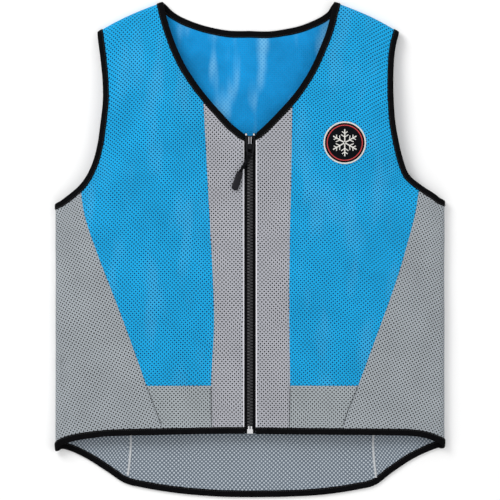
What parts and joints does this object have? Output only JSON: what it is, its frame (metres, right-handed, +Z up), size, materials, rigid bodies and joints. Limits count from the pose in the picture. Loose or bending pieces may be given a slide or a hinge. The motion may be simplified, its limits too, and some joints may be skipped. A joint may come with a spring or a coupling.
{
  "type": "cooling vest",
  "caption": "Sleeveless zip-front work vest of knitted mesh, with a low tail, contrast side panels and taped edges, laid flat.",
  "frame": {"origin": "under the middle of the laid-out outline, on the surface that the vest rests on", "axes": "+X to the right in the front view, across the chest; +Y from the tail towards the neck; +Z up, out of the front"},
  "size_m": [0.563, 0.7143, 0.0275],
  "materials": {
    "blue_mesh": "matte knitted mesh",
    "grey_mesh": "matte knitted mesh",
    "tape": "matte woven tape",
    "moulded_teeth": "moulded",
    "bright_metal": "plated",
    "dark_metal": "semi-gloss",
    "moulded_grip": "moulded",
    "patch_cloth": "embroidered"
  },
  "bodies": {
    "root": {"front_chest_left": "blue_mesh", "front_chest_right": "blue_mesh", "back_panel": "blue_mesh", "front_placket_left": "grey_mesh", "front_placket_right": "grey_mesh", "front_hem_insert_left": "grey_mesh", "front_hem_insert_right": "grey_mesh", "side_panel_left": "grey_mesh", "side_panel_right": "grey_mesh", "back_tail_panel": "grey_mesh", "neck_binding": "tape", "hem_binding": "tape", "armhole_binding_left": "tape", "armhole_binding_right": "tape", "zipper_tape_left": "tape", "zipper_tape_right": "tape", "zipper_teeth_left": "moulded_teeth", "zipper_teeth_right": "moulded_teeth", "top_stop_left": "bright_metal", "top_stop_right": "bright_metal", "zipper_box": "bright_metal", "slider_body": "dark_metal", "pull_link": "dark_metal", "pull_cord": "tape", "pull_grip": "moulded_grip", "chest_patch": "patch_cloth"}
  },
  "joints": []
}
